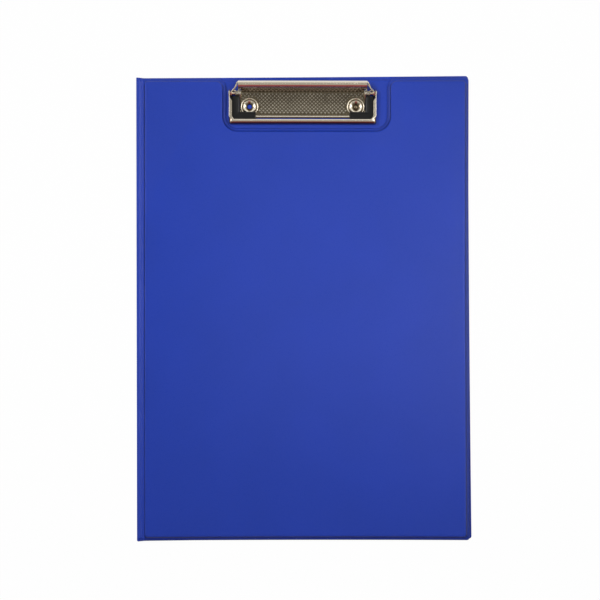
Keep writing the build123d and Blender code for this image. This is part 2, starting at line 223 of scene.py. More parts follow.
def rim_distance(x, y, cover):
    """How far a point lies inside the rim, which also runs along the spine groove."""
    from_groove = x - groove.x - groove_half + flange
    return round_min(edge_distance(x, y, cover), from_groove, back_corner)


def waves(x, y, depth):
    """Slight waves of the sheet over its board: some 60 to 75 mm long, and shorter ones on them."""
    return depth * (noise.noise((x / 60, y / 75, 3.1)) + 0.5 * noise.noise((x / 23, y / 31, 7.7)))


# Half the thickness of the spine strip, by distance from the fold towards the groove
outer_strip = [
    (0.0, 0.52), (0.5, 0.60), (1.0, 0.77), (1.4, 0.80), (1.8, 0.58), (2.15, 0.32), (2.5, 0.52),
    (2.9, 0.72), (3.4, 0.66), (3.75, 0.38), (3.95, 0.17), (4.3, 0.12),
]
inner_strip = [(0.0, 0.10), (0.7, 0.18), (1.3, 0.34), (3.3, 0.36), (3.95, 0.22), (4.3, 0.16)]


def half_thickness(x, y, cover, strip, wave):
    """Half thickness of a cover at a point, or of the spine strip beside it."""
    edge = edge_distance(x, y, cover)
    if x >= groove.x + groove_half:
        rim = rim_distance(x, y, cover)
        half = on_profile(rim_profile, rim)
        if rim > face_start:
            half += waves(x, y, wave) * ease((rim - face_start) / wave_fade)
        return half
    welded = on_profile(rim_profile, min(edge, flange))
    raised = on_profile(strip, max(0.0, x - fold.x))
    run = groove.x - x
    if run < groove_half:
        blend_in = ease((groove_half - run) / groove_half)
        raised = raised * (1 - blend_in) + welded * blend_in
    return welded + (raised - welded) * ease((edge - end_weld) / end_rise)


# PVC: plasticised vinyl film, calendered and embossed. It gives a satin face with a fine pebbled
# grain, and reflects like any plastic of IOR 1.53.
pvc_blue = "#2141B6"
pvc_blue_dark = "#1F3FB0"
grain_mm = 1.1
grain_relief = 0.06
fine_share = 0.35
cloud_mm = 45
# Painted shade of the film over the height of a weld: flange, groove, and the roll beside it. The painted
# shade starts at the spine groove, and is faint in a box round one point and along the top edge.
painted_shade_tones = [(0, 0.66), (0.22, 0.66), (0.34, 0.42), (0.80, 0.42), (1, 1)]
weld_height = (-0.1, 1.25)
weld_start = (0.1, 0.4)
faint_share = 0.3
faint_length = (46, 56)
faint_width = (3, 8)
faint_top = (6, 4)


def linear(hex_colour):
    """An sRGB hex colour as linear values with full alpha."""
    values = [int(hex_colour[place:place + 2], 16) / 255 for place in (1, 3, 5)]
    return tuple(v / 12.92 if v <= 0.04045 else ((v + 0.055) / 1.055) ** 2.4 for v in values) + (1.0,)


def new_material(name):
    """An empty node material."""
    material = bpy.data.materials.new(name)
    material.use_nodes = True
    material.node_tree.nodes.clear()
    return material


def add_node(material, kind, inputs=None, stops=None, **settings):
    """Adds a shader node with its settings and colour stops, and sets or links its inputs."""
    tree = material.node_tree
    node = tree.nodes.new("ShaderNode" + kind)
    for setting, value in settings.items():
        setattr(node, setting, value)
    for socket, value in (inputs or {}).items():
        if isinstance(value, bpy.types.Node):
            value = value.outputs[0]
        if isinstance(value, bpy.types.NodeSocket):
            tree.links.new(value, node.inputs[socket])
        else:
            node.inputs[socket].default_value = value
    if stops:
        elements = node.color_ramp.elements
        elements[0].position = stops[0][0]
        elements[1].position = stops[-1][0]
        elements[0].color = (*stops[0][1][:3], 1)
        elements[1].color = (*stops[-1][1][:3], 1)
        for position, colour in stops[1:-1]:
            elements.new(position).color = (*colour[:3], 1)
    return node


def between(m, place, axis, low, high, start=0.0, end=1.0):
    """How far a place lies from one level to another along an axis, both in millimetres."""
    parts = add_node(m, "SeparateXYZ", {"Vector": place})
    return add_node(m, "MapRange", {"Value": parts.outputs[axis], "From Min": low * 0.001,
                                    "From Max": high * 0.001, "To Min": start, "To Max": end})


def painted_weld_shade(m, place, colour, faint, top):
    """Paints shade into the film where it lies low in a weld, less round a faint point and along the top.
    """
    level = between(m, place, "Z", faint.z + weld_height[0], faint.z + weld_height[1])
    shade = add_node(m, "ValToRGB", {"Fac": level},
                     stops=[(spot, (tone,) * 3) for spot, tone in painted_shade_tones])
    shaded = add_node(m, "VectorMath", {0: colour, 1: shade}, operation="MULTIPLY")
    cover = between(m, place, "X", groove.x + weld_start[0], groove.x + weld_start[1])
    below = between(m, place, "Y", top - faint_top[0], top - faint_top[1], 1.0, faint_share)
    offset = add_node(m, "VectorMath", {0: place, 1: faint * 0.001}, operation="SUBTRACT")
    away = add_node(m, "VectorMath", {0: offset}, operation="ABSOLUTE")
    along = between(m, away, "X", *faint_length)
    across = between(m, away, "Y", *faint_width)
    strong = add_node(m, "Math", {0: along, 1: across}, operation="MAXIMUM")
    part = add_node(m, "MapRange", {"Value": strong, "To Min": faint_share, "To Max": 1.0})
    lower = add_node(m, "Math", {0: cover, 1: below}, operation="MULTIPLY")
    share = add_node(m, "Math", {0: lower, 1: part}, operation="MULTIPLY")
    # Sockets 4 and 5 of a mix node are its two vectors, and output 1 is the mixed one
    choice = add_node(m, "Mix", {"Factor": share, 4: colour, 5: shaded}, data_type="VECTOR")
    return choice.outputs[1]


def embossed_pvc(name, grain, relief, faint=None, top=None):
    """Vinyl film with a leather grain of the given cell size and depth, and painted shade in its welds if
    asked for.
    """
    m = new_material(name)
    place = add_node(m, "TexCoord").outputs["Object"]
    cells = add_node(m, "TexVoronoi", {"Vector": place, "Scale": 1000 / grain, "Randomness": 0.9},
                     feature="SMOOTH_F1")
    film = add_node(m, "TexNoise", {"Vector": place, "Scale": 1000 / (grain * fine_share), "Detail": 2.0})
    flow = add_node(m, "TexNoise", {"Vector": place, "Scale": 1000 / cloud_mm, "Detail": 3.0})
    height = add_node(m, "Math", {0: cells, 1: film}, operation="ADD")
    bump = add_node(m, "Bump", {"Height": height, "Strength": 0.35, "Distance": relief * 0.001})
    tint = add_node(m, "MapRange", {"Value": flow, "From Min": 0.3, "From Max": 0.7})
    colours = add_node(m, "ValToRGB", {"Fac": tint},
                       stops=[(0, linear(pvc_blue_dark)), (1, linear(pvc_blue))])
    film_colour = colours.outputs["Color"]
    if faint:
        film_colour = painted_weld_shade(m, place, film_colour, faint, top)
    gloss = add_node(m, "MapRange", {"Value": film, "To Min": 0.25, "To Max": 0.32})
    shader = add_node(m, "BsdfPrincipled", {
        "Base Color": film_colour, "Roughness": gloss, "IOR": 1.53, "Specular IOR Level": 0.245,
        "Normal": bump})
    add_node(m, "OutputMaterial", {"Surface": shader})
    return m


embossed = embossed_pvc("embossed_vinyl_film", grain_mm, grain_relief)

edge_pull = 0.4
top_pull = 0.15
top_rise = 0.2
off_square = 0.25
strip_slope = atan2(fold.z - groove.z, groove.x - fold.x)
strip_stretch = 1 / cos(strip_slope)
bend_half = 0.4
# Mesh lines along the hinge: on the slope of the rim, round the groove, and along the strip
slope_lines = [groove.x + groove_half - flange + inset for inset, half in rim_profile if inset > flange]
groove_lines = [groove.x + groove_half * step / 3 for step in range(3, -4, -1)]
strip_lines = [fold.x + run for run, half in outer_strip[1:-2]]
hinge_lines = slope_lines + groove_lines + strip_lines


def drawn_in(x, y):
    """Draws each free edge in a little between its corners, as the film does when the weld cools.
    The cover is also a little off square, and its top edge stands a little high."""
    x_share = x / back_edge_x
    y_share = y / back_edge_y
    near_end = y_share ** 6
    pull_x = edge_pull * max(0.0, 1 - y_share ** 2) * x_share ** 6 if x > 0 else 0.0
    bow = max(0.0, 1 - x_share ** 2) * near_end
    rise = top_rise * near_end - top_pull * bow if y > 0 else edge_pull * bow
    return x - pull_x, y + rise + off_square * x_share * near_end


def lower_spine(x, y, z):
    """Bends the part of a back sheet beyond the groove up towards the fold."""
    x, y = drawn_in(x, y)
    run = (groove.x - x) * strip_stretch
    offset = z - groove.z
    along = Vector((-cos(strip_slope), sin(strip_slope)))
    if run <= -bend_half:
        return (x, y, z)
    if run < bend_half:
        share = (run + bend_half) / (2 * bend_half)
        centre = Vector((bend_half * (1 - share) ** 2, 0)) + along * bend_half * share ** 2
        way = Vector((-(1 - share), 0)) + along * share
    else:
        centre = along * run
        way = along
    way.normalize()
    return (groove.x + centre.x + way.y * offset, y, groove.z + centre.y - way.x * offset)


def cover_sheet(name, cover, plan, mid, side, strip, place, material, droop=0.0, wave=0.0):
    """One sheet of a cover, on the side +1 or -1 of the cover's middle."""
    def level(x, y):
        return mid - droop * (1 - min(1.0, edge_distance(x, y, cover) / flange))

    def outside(x, y):
        return level(x, y) + side * half_thickness(x, y, cover, strip, wave)

    def inside(x, y):
        return level(x, y) + side * max(0.0, half_thickness(x, y, cover, strip, wave) - sheet)

    upper, lower = (outside, inside) if side > 0 else (inside, outside)
    return closed_sheet(name, plan, upper, lower, place, material)


back_cover = (back_edge_x, back_edge_y, False)
back_plan = cover_plan(back_cover)
back_skin = cover_sheet("back_cover_skin", back_cover, back_plan, groove.z, -1, outer_strip, lower_spine,
                        embossed)
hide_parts("back_outer_skin", "spine_outer_skin")
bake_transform(back_skin)


# Back cover, board: 2 mm grey board, die-cut, sealed between the two sheets. It is recycled paper
# pulp, so it is matt with short fibres and specks.
board_grey = "#8C877D"
board_speck = "#6E6A61"
fibre_mm = 0.8
fibre_relief = 0.1


def pulp_board():
    """Grey board of recycled pulp, matt and speckled."""
    m = new_material("recycled_grey_board")
    place = add_node(m, "TexCoord").outputs["Object"]
    fibres = add_node(m, "TexNoise", {"Vector": place, "Scale": 1000 / fibre_mm, "Detail": 4.0})
    colours = add_node(m, "ValToRGB", {"Fac": fibres},
                       stops=[(0.35, linear(board_speck)), (0.6, linear(board_grey))])
    bump = add_node(m, "Bump", {"Height": fibres, "Strength": 0.3, "Distance": fibre_relief * 0.001})
    shader = add_node(m, "BsdfPrincipled", {"Base Color": colours, "Roughness": 0.9, "Normal": bump})
    add_node(m, "OutputMaterial", {"Surface": shader})
    return m


grey_board = pulp_board()


def dress(node, material):
    """Gives a construction node its finish."""
    mesh = frame["nodes"][node].data
    mesh.materials.clear()
    mesh.materials.append(material)


dress("back_board", grey_board)


# Back cover, inner lining: the same film with a shallower grain, welded to the outer skin. The clip
# is riveted through it, and it shows through the notch of the front cover.
lining_grain_mm = 0.8
lining_relief = 0.035
lining_film = embossed_pvc("lining_vinyl_film", lining_grain_mm, lining_relief)
back_lining = cover_sheet("back_cover_lining", back_cover, back_plan, groove.z, 1, inner_strip, lower_spine,
                          lining_film)
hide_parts("back_inner_lining", "spine_inner_lining")
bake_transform(back_lining)


# Fold of the spine: both sheets turn here in a soft roll, which shows as the folder's left edge.
# It is a rounded bead of film with closed ends.
fold_radius = 0.55
fold_sides = 20
end_steps = 4


def add_rings(points, faces, rings, looped=False):
    """Joins rings of corners, given from the bottom up, to a closed form with two ends or to a loop."""
    first = len(points)
    size = len(rings[0])
    count = len(rings)
    for ring in rings:
        points += ring
    for level in range(count if looped else count - 1):
        low = first + level * size
        high = first + (level + 1) % count * size
        for side in range(size):
            after = (side + 1) % size
            faces.append([low + side, low + after, high + after, high + side])
    if not looped:
        faces.append([first + side for side in reversed(range(size))])
        faces.append([first + (count - 1) * size + side for side in range(size)])


def ring_piece(name, rings, material, sharp, looped=False):
    """A piece made of rings of corners. Its edges are sharp from a given angle in degrees."""
    points = []
    faces = []
    add_rings(points, faces, rings, looped)
    piece = new_piece(name, points, faces, material)
    piece.data.set_sharp_from_angle(angle=radians(sharp))
    return piece


def lathe(name, centre, axis, profile, sides, material):
    """A solid of revolution from (radius, height) points along an axis through centre."""
    axis = Vector(axis).normalized()
    across = axis.orthogonal().normalized()
    third = axis.cross(across)
    turns = [2 * pi * side / sides for side in range(sides)]
    rings = []
    for radius, height in profile:
        offsets = [(across * cos(turn) + third * sin(turn)) * radius for turn in turns]
        rings.append([Vector(centre) + axis * height + offset for offset in offsets])
    return ring_piece(name, rings, material, 40)


def with_end(end, length):
    """A lathe profile from the profile of its first end, which is repeated at the other end."""
    return end + [(radius, length - height) for radius, height in reversed(end)]


end_turns = [pi / 2 * step / end_steps for step in range(1, end_steps + 1)]
end_round = [(fold_radius * sin(turn), fold_radius * (1 - cos(turn))) for turn in end_turns]
spine_fold = lathe("spine_fold_roll", (fold.x, -back_edge_y, fold.z), (0, 1, 0),
                   with_end(end_round, 2 * back_edge_y), fold_sides, embossed)
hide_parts("spine_fold")
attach(spine_fold, "spine")


# Base plate: 0.8 mm steel, blanked, knurled between two rolls and bead-rolled along the front, then
# nickel plated. The bosses round the rivets are embossed and left smooth, so they shine.
plate_low, plate_high = (corner * 1000 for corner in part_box("base_plate"))
plate_bottom = plate_low.z
plate_top = plate_bottom + 0.8
plate_half = plate_high.x
plate_front = plate_low.y - 0.5
plate_rear = plate_low.y + 18.9
plate_corner = 1.5
rivet_low, rivet_high = (corner * 1000 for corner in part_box("right_rivet"))
rivet_x = (rivet_low.x + rivet_high.x) / 2
rivet_y = (rivet_low.y + rivet_high.y) / 2
rivet_places = [(-rivet_x, rivet_y), (rivet_x, rivet_y)]
bead_radius = 0.85
bead_y = plate_front + 1.0
bead_rise = 0.7
bead_sink = 0.1
edge_drop = 0.25
edge_width = 0.4
boss_press = 0.45
press_start = 4.6
press_width = 1.2
boss_radius = 6.15
boss_top = 0.6
bore_radius = 2.3
# Height of an embossed boss over the plate, by distance from the rivet
boss_profile = [
    (bore_radius, 0.58), (4.0, 0.58), (4.35, 0.40), (4.5, 0.06), (4.62, 0.02), (4.75, 0.07), (5.0, 0.20),
    (5.3, 0.37), (5.6, 0.54), (5.8, 0.63), (5.95, 0.60), (6.1, 0.45), (6.25, 0.12), (6.35, 0.0), (6.6, 0.0),
]
boss_edge = boss_profile[-1][0]


def plate_edge(x, y):
    """How far a point lies inside the plate's outline."""
    middle_y = (plate_front + plate_rear) / 2
    half_y = (plate_rear - plate_front) / 2
    return round_min(plate_half - abs(x), half_y - abs(y - middle_y), plate_corner)


def from_rivet(x, y):
    """Distance to the nearer rivet."""
    return min(hypot(x - place[0], y - place[1]) for place in rivet_places)


def plate_surface(x, y):
    """Top of the plate with its bead, bosses and rounded edge."""
    height = plate_top - edge_drop * (1 - ease(plate_edge(x, y) / edge_width))
    from_bead = abs(y - bead_y)
    if from_bead < bead_radius:
        height = max(height, plate_top - bead_sink + sqrt(bead_radius ** 2 - from_bead ** 2) * bead_rise)
    distance = from_rivet(x, y)
    if distance < boss_edge:
        height = plate_top + on_profile(boss_profile, distance)
    return height


def plate_underside(x, y):
    """Underside of the plate, pressed up below the bosses."""
    distance = from_rivet(x, y)
    pressed = 1 - ease((distance - press_start) / press_width) if distance < boss_edge else 0.0
    return plate_bottom + boss_press * pressed


def round_rectangle(low_x, low_y, high_x, high_y, r):
    """Closed outline of a rectangle with rounded corners."""
    line = arc_points((low_x + r, low_y + r), r, 180, 90, 5)
    line += arc_points((high_x - r, low_y + r), r, 270, 90, 5)
    line += arc_points((high_x - r, high_y - r), r, 0, 90, 5)
    line += arc_points((low_x + r, high_y - r), r, 90, 90, 5)
    return line + line[:1]


plate_lines = []
for inset in (0.0, 0.1, 0.2, 0.4, 0.7):
    outline = round_rectangle(inset - plate_half, plate_front + inset, plate_half - inset,
                              plate_rear - inset, plate_corner - inset)
    plate_lines.append(divided(outline, 6))
bead_lines = [bead_y - bead_radius * cos(pi * step / 12) for step in range(13)]
for y in [*bead_lines, bead_y + bead_radius + 0.3]:
    plate_lines.append(divided([(-plate_half + 0.7, y), (plate_half - 0.7, y)], 6))
for place in rivet_places:
    for radius, height in boss_profile:
        plate_lines.append(arc_points(place, radius, 0, 360, 48))
plate_plan = flat_mesh(plate_lines, [],
                       lambda x, y: plate_edge(x, y) > 0 and from_rivet(x, y) > bore_radius)


# Nickel plate: bright nickel on polished steel. It is a warm silver and nearly a mirror, with hair
# scratches that widen its highlights a little. Where nothing rubs it, it is duller and browner, and on the
# frame's sides and the lever's face that darker tone is a painted dark reflection.
nickel = "#D8D0C2"
groove_tarnish = "#7A705E"
dull_nickel = "#ADA79C"
knurl_tarnish = "#5E5647"
stain_mm = 9
scratch_mm = 0.25
scratch_stretch = 0.12
scratch_depth = 0.01
knurl_scratch_depth = 0.02


def nickel_plate(name, colour, rough, low=None, high=None, tarnish_and_painted_shade=groove_tarnish, scratch=scratch_depth):
    """Plated metal with a given roughness and scratch depth, darker below a height where one is given."""
    m = new_material(name)
    place = add_node(m, "TexCoord").outputs["Object"]
    stretch = add_node(m, "Mapping", {"Vector": place, "Scale": (scratch_stretch, 1.0, 1.0)})
    hair = add_node(m, "TexNoise", {"Vector": stretch, "Scale": 1000 / scratch_mm, "Detail": 2.0})
    cloud = add_node(m, "TexNoise", {"Vector": place, "Scale": 1000 / stain_mm, "Detail": 3.0})
    gloss = add_node(m, "MapRange", {"Value": cloud, "From Min": 0.3, "From Max": 0.7,
                                     "To Min": rough * 0.8, "To Max": rough * 1.25})
    bump = add_node(m, "Bump", {"Height": hair, "Strength": 0.25, "Distance": scratch * 0.001})
    face = linear(colour)
    if low:
        level = between(m, place, "Z", low, high)
        face = add_node(m, "ValToRGB", {"Fac": level}, stops=[(0, linear(tarnish_and_painted_shade)), (1, face)])
    shader = add_node(m, "BsdfPrincipled", {"Base Color": face, "Metallic": 1.0, "Roughness": gloss,
                                            "Normal": bump})
    add_node(m, "OutputMaterial", {"Surface": shader})
    return m


bright_nickel = nickel_plate("bright_nickel_plate", nickel, 0.16)
plate_nickel = nickel_plate("tarnished_nickel_plate", nickel, 0.17, plate_top + 0.04, plate_top + 0.16)
knurled_nickel = nickel_plate("knurled_nickel_plate", dull_nickel, 0.30, plate_top + 0.05, plate_top + 0.30,
                              knurl_tarnish, knurl_scratch_depth)
base_plate = closed_sheet("base_plate_blank", plate_plan, plate_surface, plate_underside,
                          lambda x, y, z: (x, y, z), plate_nickel)

# The clip is riveted on a little askew: it stands 0.36 degrees off the back cover
clip_turn = radians(-0.36)
clip_askew = (Matrix.Translation((0, 0.001 * rivet_y, 0)) @ Matrix.Rotation(clip_turn, 4, "Z")
              @ Matrix.Translation((0, -0.001 * rivet_y, 0)))
base_plate.data.transform(clip_askew)
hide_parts("base_plate")
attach(base_plate, "back")

# The knurl: rows of small four-sided pyramids with blunt tips, at 45 degrees to the edges
knurl_pitch = 1.83
knurl_height = 0.34
knurl_gap = 0.10
tip_share = 0.26
knurl_front = bead_y + bead_radius + 0.65
knurl_rear = plate_rear - 1.4
knurl_half = plate_half - 0.9
knurl_levels = [(1.0, plate_top - 0.05), (1.0, plate_top), (tip_share, plate_top + knurl_height)]
knurl_points = []
knurl_faces = []
reach = knurl_pitch * sqrt(2) / 2
for column in range(int(2 * knurl_half / reach)):
    for row in range(int((knurl_rear - knurl_front) / reach)):
        x = -knurl_half + reach * (column + 1)
        y = knurl_front + reach * (row + 1)
        if (column + row) % 2 or from_rivet(x, y) < boss_radius + reach * 0.8:
            continue
        rings = []
        for share, level in knurl_levels:
            size = (reach - knurl_gap) * share
            corners = ((x + size, y), (x, y + size), (x - size, y), (x, y - size))
            rings.append([(*corner, level) for corner in corners])
        add_rings(knurl_points, knurl_faces, rings)
knurl = new_piece("base_plate_knurl", knurl_points, knurl_faces, knurled_nickel, smooth=False)
knurl.data.transform(clip_askew)
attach(knurl, "back")

# The ears: each rear corner of the plate is folded up and holds the end of a pivot pin
pivot = joint_place["clip_hinge"]
ear_radius = 2.6
ear_root = 6.0
ear_foot = plate_bottom + 0.4
ear_sheet = 0.8
ear_bevel = 0.12
ear_nickel = nickel_plate("folded_ear_nickel", dull_nickel, 0.2)
ear_line = [(pivot.y - ear_root, ear_foot)]
ear_line += arc_points((pivot.y, pivot.z), ear_radius, 130, -190, 19)
ear_line.append((pivot.y + ear_radius, ear_foot))
ear_middle_y = sum(y for y, z in ear_line) / len(ear_line)
ear_middle_z = sum(z for y, z in ear_line) / len(ear_line)
ear_layers = [(0.0, ear_bevel), (ear_bevel, 0.0), (ear_sheet - ear_bevel, 0.0), (ear_sheet, ear_bevel)]
both_sides = (("left", -1), ("right", 1))
for side_name, side in both_sides:
    rings = []
    for depth, inset in ear_layers:
        ring = []
        for y, z in ear_line:
            pull = 1 - inset / hypot(y - ear_middle_y, z - ear_middle_z)
            ring.append((side * (plate_half - depth), ear_middle_y + (y - ear_middle_y) * pull,
                         ear_middle_z + (z - ear_middle_z) * pull))
        rings.append(ring)
    ear = ring_piece(f"{side_name}_plate_ear", rings, ear_nickel, 50)
    ear.data.transform(clip_askew)
    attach(ear, "back")


# Rivets: tubular, drawn from brass and nickel plated, rolled over the bosses. The left one is open,
# so the blue skin shows at the bottom of its bore, and the right one is drawn blind.
rivet_bottom = rivet_low.z
rivet_sides = 48
shank = 2.4
bore = 1.45
flange_top = rivet_high.z
boss_level = plate_top + boss_top
rolled_flange = [
    (2.35, boss_level - 0.3), (2.5, boss_level + 0.02), (4.0, boss_level + 0.02),
    (4.22, boss_level + 0.12), (4.3, boss_level + 0.32), (4.28, flange_top - 0.05),
    (4.18, flange_top + 0.09), (4.05, flange_top + 0.14), (3.9, flange_top + 0.12),
    (3.6, flange_top - 0.04), (3.2, flange_top - 0.27), (2.8, flange_top - 0.50),
    (2.5, flange_top - 0.68), (2.2, flange_top - 0.86), (1.95, flange_top - 1.05),
    (1.75, flange_top - 1.3), (bore, flange_top - 1.8),
]
blind_end = [(1.4, flange_top - 2.0), (0.9, flange_top - 1.7), (0.4, flange_top - 1.55)]
open_end = [(bore, rivet_bottom + 0.1)]
rivet_nickel = nickel_plate("rolled_rivet_nickel", nickel, 0.14, flange_top - 0.55, flange_top - 0.18)
rivet_turns = [2 * pi * step / rivet_sides for step in range(rivet_sides)]
for side_name, side in both_sides:
    is_open = side < 0
    profile = [(shank, rivet_bottom), (shank, boss_level - 0.4), *rolled_flange]
    profile += open_end if is_open else blind_end
    rings = []
    for radius, height in profile:
        rings.append([(side * rivet_x + radius * cos(turn), rivet_y + radius * sin(turn), height)
                      for turn in rivet_turns])
    rivet = ring_piece(f"{side_name}_tubular_rivet", rings, rivet_nickel, 60, looped=is_open)
    rivet.data.transform(clip_askew)
    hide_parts(f"{side_name}_rivet")
    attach(rivet, "back")


# Pivot pins: cold-headed steel pins through ear, spring, cheek and frame arm, nickel plated, with a
# low domed head at each end.
pin_low, pin_high = (corner * 1000 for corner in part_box("right_pin"))
pin_radius = 1.0
pin_head = 1.8
head_depth = 0.4
pin_length = pin_high.x - pin_low.x + 0.3
domed_head = [(pin_head * 0.6, 0.0), (pin_head * 0.92, 0.08), (pin_head, 0.2), (pin_head, head_depth),
              (pin_radius, head_depth)]
for side_name, side in both_sides:
    pin = lathe(f"{side_name}_pivot_pin", (side * pin_low.x, pivot.y, pivot.z), (side, 0, 0),
                with_end(domed_head, pin_length), 32, bright_nickel)
    pin.data.transform(clip_askew)
    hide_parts(f"{side_name}_pin")
    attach(pin, "back")


# Torsion springs: 0.8 mm music wire, coiled round the pins and nickel plated. The foot presses on the
# back cover and the hook pulls the lever's cheek, so a spring twists when the clamp opens.
spring_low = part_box("right_spring")[0] * 1000
wire = 0.8
coil_radius = 1.55
coil_pitch = 0.82
foot_length = 6.5
push_angle = radians(25)
foot_drop = pivot.z - plate_bottom - coil_radius - wire / 2 - 0.05
foot_angle = atan2(foot_drop, sqrt(foot_length ** 2 - foot_drop ** 2))
coil_start = -pi / 2 - foot_angle
coil_turn = (pi / 2 + push_angle - coil_start) % (2 * pi) - 6 * pi
coil_first = spring_low.x + wire / 2
coil_steps = 72
coil_length = coil_pitch * abs(coil_turn) / (2 * pi)
spring_wire = nickel_plate("plated_music_wire", dull_nickel, 0.26)
spring_path = []
for step in range(coil_steps + 1):
    share = step / coil_steps
    angle = coil_start + coil_turn * share
    spring_path.append(Vector((coil_first + coil_length * share, pivot.y + coil_radius * cos(angle),
                               pivot.z + coil_radius * sin(angle))))
foot_way = Vector((0, sin(coil_start), -cos(coil_start)))
push_way = Vector((0, cos(push_angle), sin(push_angle)))
spring_end = spring_path[-1]
spring_path.insert(0, spring_path[0] - foot_way * foot_length)
# The hook leaves the coil towards the lever and turns in behind its cheek
for forward, aside in ((1.6, 0.0), (2.15, 0.25), (2.4, 0.8), (2.4, 2.4)):
    spring_path.append(spring_end + push_way * forward + Vector((aside, 0, 0)))
for side_name, side in both_sides:
    curve = bpy.data.curves.new(f"{side_name}_spring_path", "CURVE")
    curve.dimensions = "3D"
    curve.bevel_depth = wire / 2 * 0.001
    curve.bevel_resolution = 4
    curve.use_fill_caps = True
    spline = curve.splines.new("POLY")
    spline.points.add(len(spring_path) - 1)
    for point, place in zip(spline.points, spring_path):
        point.co = (0.001 * side * place.x, 0.001 * place.y, 0.001 * place.z, 1)
    holder = bpy.data.objects.new(f"{side_name}_spring_curve", curve)
    into_scene(holder)
    bpy.context.view_layer.update()
    mesh = bpy.data.meshes.new_from_object(holder)
    bpy.data.objects.remove(holder)
    mesh.polygons.foreach_set("use_smooth", [True] * len(mesh.polygons))
    mesh.materials.clear()
    mesh.materials.append(spring_wire)
    mesh.transform(clip_askew)
    spring = bpy.data.objects.new(f"{side_name}_torsion_spring", mesh)
    into_scene(spring)
    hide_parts(f"{side_name}_spring")
    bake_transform(spring)


# Clamp frame: one strip of 0.9 mm steel. The jaw bar across the front is rolled over, the corners
# are drawn to a ball, and the two flat arms run back to the pivot pins. Bright nickel plated.
frame_low, frame_high = (corner * 1000 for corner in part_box("clamp_frame"))
clip_sheet = 0.9
frame_front = frame_low.y - 0.5
frame_half = frame_high.x + 0.3
jaw_bottom = frame_low.z
jaw_top = jaw_bottom + 5.5
jaw_roll = 2.6
corner_round = 1.4
mitre_round = 0.5
roll_limit = 0.56
jaw_lip = 0.5
lip_bow = 0.08
lip_drop = 0.38
lip_gap = 0.03
fade = 2.5
knuckle = frame_high.y - pivot.y
pivot_spot = (pivot.y, pivot.z)
arm_roll = 0.35
arm_width = 2.1
knuckle_roll = 0.35
knuckle_start = 3.2
knuckle_fade = 2.8
arm_gap = 0.3


def hull_edge(y, side, front, front_radius, rear, rear_radius):
    """Upper or lower edge, for a side of +1 or -1, of a strip of steel that wraps two circles in
    (y, z). A radius of 0 is a corner."""
    run = rear[0] - front[0]
    rise = rear[1] - front[1]
    slope = atan2(rise, run) - side * asin((front_radius - rear_radius) / hypot(run, rise))
    start_y = front[0] - side * front_radius * sin(slope)
    start_z = front[1] + side * front_radius * cos(slope)
    end_y = rear[0] - side * rear_radius * sin(slope)
    end_z = rear[1] + side * rear_radius * cos(slope)
    if y < start_y:
        return front[1] + side * sqrt(max(0.0, front_radius ** 2 - (y - front[0]) ** 2))
    if y > end_y:
        return rear[1] + side * sqrt(max(0.0, rear_radius ** 2 - (y - rear[0]) ** 2))
    return start_z + (end_z - start_z) * (y - start_y) / (end_y - start_y)


def frame_arm(y, depth):
    """A point of an arm, at a depth from its outer face."""
    return frame_half - depth, y


def frame_corner(angle, depth):
    """A point round a front corner. Its round shrinks with the depth."""
    r = max(corner_round - depth, mitre_round)
    return frame_half - depth - r + r * cos(angle), frame_front + depth + r + r * sin(angle)


def frame_bar(x, depth):
    """A point of the jaw bar, at a depth from its front."""
    return x, frame_front + depth


# A station across the strip: the part it is on, its place along it, the radius of its rolled edge, and
# how far it reaches in. They run from the right knuckle down the arm and round to the middle of the bar.
stations = []
arm_end = frame_front + jaw_roll + mitre_round
bar_end = frame_half - jaw_roll - mitre_round
for step in range(9):
    stations.append((frame_arm, pivot.y + knuckle * cos(pi / 2 * step / 8), knuckle_roll, knuckle_roll))
for step in range(17, -1, -1):
    y = arm_end + arm_gap + (pivot.y - arm_end - 2 * arm_gap) * step / 18
    along_arm = ease((y - arm_end) / fade)
    at_knuckle = ease((y - pivot.y + knuckle + knuckle_start) / knuckle_fade)
    roll = jaw_roll + (arm_roll - jaw_roll) * along_arm
    wide = jaw_roll + (arm_width - jaw_roll) * along_arm
    roll += (knuckle_roll - roll) * at_knuckle
    wide += (knuckle_roll - wide) * at_knuckle
    stations.append((frame_arm, y, roll, wide))
for step in range(11):
    stations.append((frame_corner, -pi / 2 * step / 10, jaw_roll, jaw_roll))
for step in range(1, 13):
    stations.append((frame_bar, bar_end * (1 - step / 12), jaw_roll, jaw_roll))
roll_turns = [pi / 2 * step / 10 for step in range(11)]
outer_rows = []
for point_at, along, roll, wide in stations:
    on_arm = point_at is frame_arm
    y = along if on_arm else frame_front
    top = hull_edge(y, 1, (frame_front, jaw_top), 0, pivot_spot, knuckle)
    low = hull_edge(y, -1, (frame_front, jaw_bottom), 0, pivot_spot, knuckle)
    roll = min(roll, (top - low) * roll_limit)
    section = [(0.0, low), (0.0, (low + top - roll) / 2)]
    section += [(roll * (1 - cos(turn)), top - roll + roll * sin(turn)) for turn in roll_turns]
    lip = jaw_lip * (1 - ease((along - arm_end) / fade)) if on_arm else jaw_lip
    section.append((max(roll + lip_gap, (roll + wide + lip) / 2), top - lip_bow * lip))
    section.append((max(roll + 2 * lip_gap, wide + lip), top - lip_drop * lip))
    outer_rows.append([Vector((*point_at(along, depth), z)) for depth, z in section])
outer_rows += [[Vector((-point.x, point.y, point.z)) for point in row] for row in reversed(outer_rows[:-1])]


def round_edges(piece, name, width, segments, sharp):
    """Rounds the edges of a piece that are sharper than an angle in degrees."""
    edge = piece.modifiers.new(name, "BEVEL")
    edge.width = width * 0.001
    edge.segments = segments
    edge.limit_method = "ANGLE"
    edge.angle_limit = radians(sharp)
    edge.harden_normals = True


